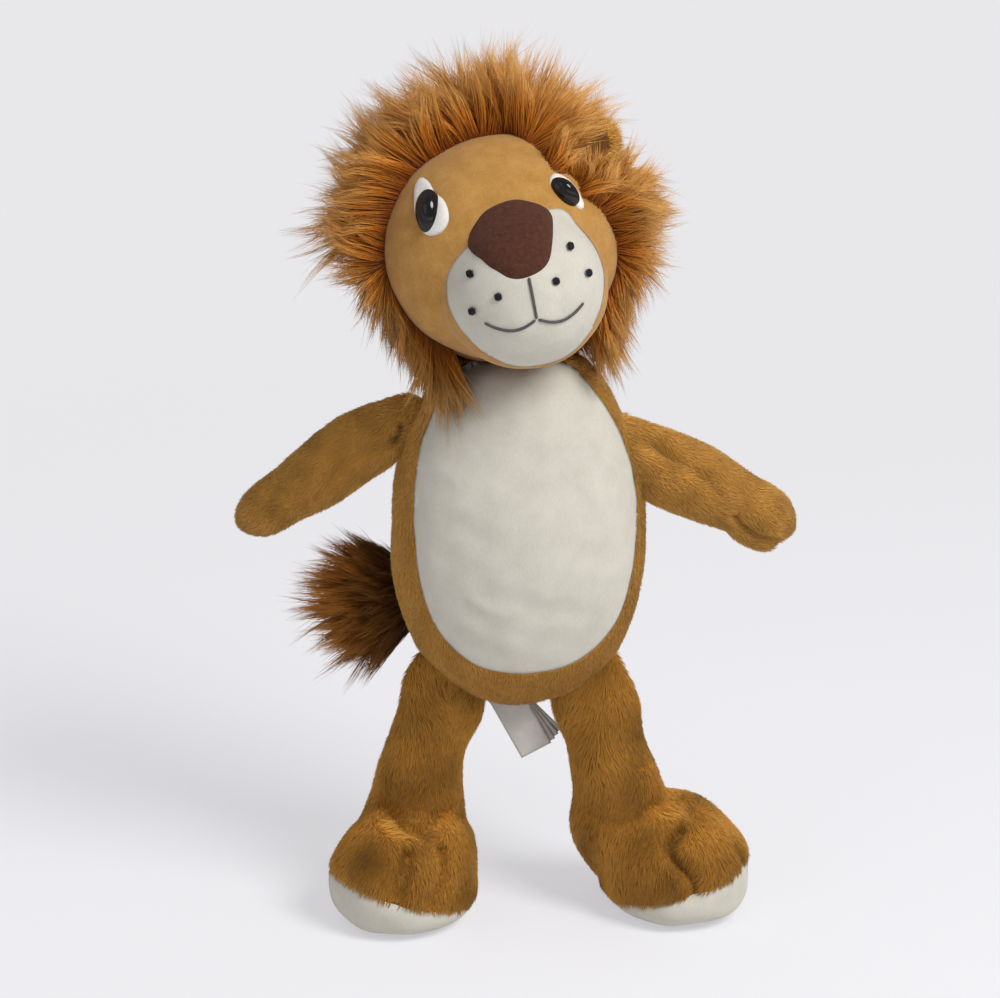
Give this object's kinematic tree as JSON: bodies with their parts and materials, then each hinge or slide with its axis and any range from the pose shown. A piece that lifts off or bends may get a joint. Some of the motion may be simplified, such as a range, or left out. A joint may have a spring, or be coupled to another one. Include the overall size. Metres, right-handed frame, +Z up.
{
  "type": "plush lion",
  "caption": "Stuffed plush lion with a fur mane, a pale belly, big feet and a tufted tail. It stands on its soles; head, arms, legs and tail move at their seams.",
  "frame": {"origin": "on the floor, under the middle of the whole lion", "axes": "+Z up, the lion looks along -Y, its own left is +X"},
  "size_m": [0.2152, 0.1278, 0.3451],
  "materials": {
    "body_plush": "short pile",
    "face_velboa": "smooth short pile",
    "cream_velboa": "smooth short pile",
    "leg_plush": "longer pile",
    "sole_velboa": "smooth short pile",
    "mane_fur": "long pile",
    "tuft_fur": "long pile",
    "nose_felt": "felt",
    "white_felt": "felt",
    "ear_lining": "short pile",
    "fibre_fill": "loose polyester fibre",
    "label_satin": "satin",
    "mouth_thread": "embroidery",
    "dot_thread": "embroidery",
    "sewing_thread": "sewing thread",
    "eye_plastic": "polished",
    "washer_plastic": "moulded"
  },
  "bodies": {
    "torso": {"torso_cover": "body_plush", "belly_panel": "cream_velboa", "torso_stuffing": "fibre_fill", "closing_stitch": "sewing_thread", "care_label_leaf_1": "label_satin", "care_label_leaf_2": "label_satin", "care_label_leaf_3": "label_satin", "care_label_leaf_4": "label_satin"},
    "neck": {"neck_stuffing": "fibre_fill"},
    "head": {"face_cover": "face_velboa", "muzzle_panel": "cream_velboa", "head_stuffing": "fibre_fill", "mane": "mane_fur", "nose": "nose_felt", "lip_stitch": "mouth_thread", "right_eye": "eye_plastic", "right_eye_washer": "washer_plastic", "right_eye_white": "white_felt", "right_smile_stitch": "mouth_thread", "right_ear": "face_velboa", "right_ear_lining": "ear_lining", "right_whisker_dot_1": "dot_thread", "right_whisker_dot_2": "dot_thread", "right_whisker_dot_3": "dot_thread", "left_eye": "eye_plastic", "left_eye_washer": "washer_plastic", "left_eye_white": "white_felt", "left_smile_stitch": "mouth_thread", "left_ear": "face_velboa", "left_ear_lining": "ear_lining", "left_whisker_dot_1": "dot_thread", "left_whisker_dot_2": "dot_thread", "left_whisker_dot_3": "dot_thread"},
    "right_arm": {"right_arm_cover": "body_plush", "right_arm_stuffing": "fibre_fill"},
    "right_leg": {"right_leg_cover": "leg_plush", "right_sole": "sole_velboa", "right_leg_stuffing": "fibre_fill", "right_toe_stitch_inner": "sewing_thread", "right_toe_stitch_outer": "sewing_thread"},
    "left_arm": {"left_arm_cover": "body_plush", "left_arm_stuffing": "fibre_fill"},
    "left_leg": {"left_leg_cover": "leg_plush", "left_sole": "sole_velboa", "left_leg_stuffing": "fibre_fill", "left_toe_stitch_inner": "sewing_thread", "left_toe_stitch_outer": "sewing_thread"},
    "tail": {"tail": "body_plush", "tail_tuft": "tuft_fur"}
  },
  "joints": [
    {"name": "neck_turn", "type": "hinge", "parent": "torso", "child": "neck", "pos_m": [0, 0.00065, 0.224], "axis": [0, 0, 1], "range_deg": [-40, 40]},
    {"name": "head_nod", "type": "hinge", "parent": "neck", "child": "head", "pos_m": [0, 0.00065, 0.224], "axis": [1, 0, 0], "range_deg": [-18, 20]},
    {"name": "right_shoulder", "type": "hinge", "parent": "torso", "child": "right_arm", "pos_m": [-0.04475, 0.00065, 0.193], "axis": [0, 0, 1], "range_deg": [-30, 55]},
    {"name": "left_shoulder", "type": "hinge", "parent": "torso", "child": "left_arm", "pos_m": [0.04475, 0.00065, 0.193], "axis": [0, 0, 1], "range_deg": [-55, 30]},
    {"name": "right_hip", "type": "hinge", "parent": "torso", "child": "right_leg", "pos_m": [-0.029, 0.00065, 0.086], "axis": [1, 0, 0], "range_deg": [-80, 20]},
    {"name": "left_hip", "type": "hinge", "parent": "torso", "child": "left_leg", "pos_m": [0.029, 0.00065, 0.086], "axis": [1, 0, 0], "range_deg": [-80, 20]},
    {"name": "tail_swing", "type": "hinge", "parent": "torso", "child": "tail", "pos_m": [0, 0.03065, 0.11], "axis": [0, 0, 1], "range_deg": [-100, 0]}
  ]
}
